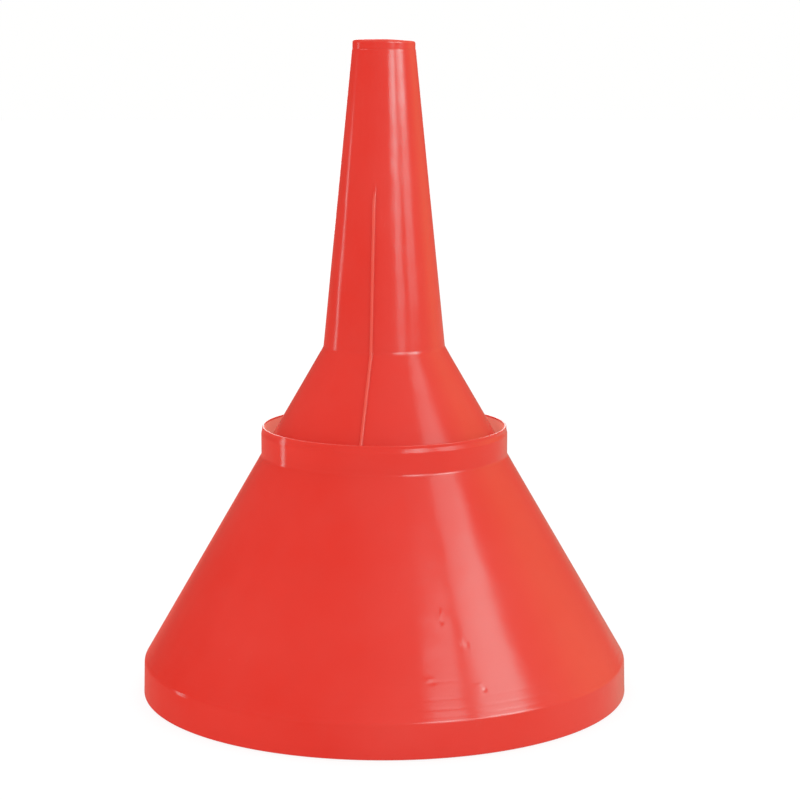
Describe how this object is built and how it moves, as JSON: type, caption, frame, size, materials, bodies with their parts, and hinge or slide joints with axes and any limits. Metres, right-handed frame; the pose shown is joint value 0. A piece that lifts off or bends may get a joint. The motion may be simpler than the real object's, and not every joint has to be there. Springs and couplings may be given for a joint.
{
  "type": "funnel",
  "caption": "Wide conical plastic funnel with a collared socket, a detachable tapered spout with vent ribs, and a gauze strainer held between them.",
  "frame": {"origin": "centre of the mouth plane, on the funnel's axis", "axes": "+Z along the axis from the mouth to the spout's tip, -Y towards the front"},
  "size_m": [0.15, 0.15, 0.2],
  "materials": {
    "red_plastic": "semi-gloss moulded polyethylene",
    "natural_nylon": "natural moulded nylon",
    "brass_gauze": "woven wire",
    "black_rubber": "matte nitrile rubber"
  },
  "bodies": {
    "bowl": {"bowl": "red_plastic"},
    "strainer": {"strainer_frame": "natural_nylon", "strainer_gauze": "brass_gauze", "strainer_retainer": "natural_nylon"},
    "seal": {"seal_ring": "black_rubber"},
    "spout": {"spout": "red_plastic"}
  },
  "joints": [
    {"name": "strainer_lift", "type": "slide", "parent": "bowl", "child": "strainer", "axis": [0, 0, 1], "range_m": [0, 0.03]},
    {"name": "spout_turn", "type": "hinge", "parent": "strainer", "child": "seal", "pos_m": [0, 0, 0.072], "axis": [0, 0, 1], "continuous": true},
    {"name": "spout_pull", "type": "slide", "parent": "seal", "child": "spout", "axis": [0, 0, 1], "range_m": [0, 0.04]}
  ]
}
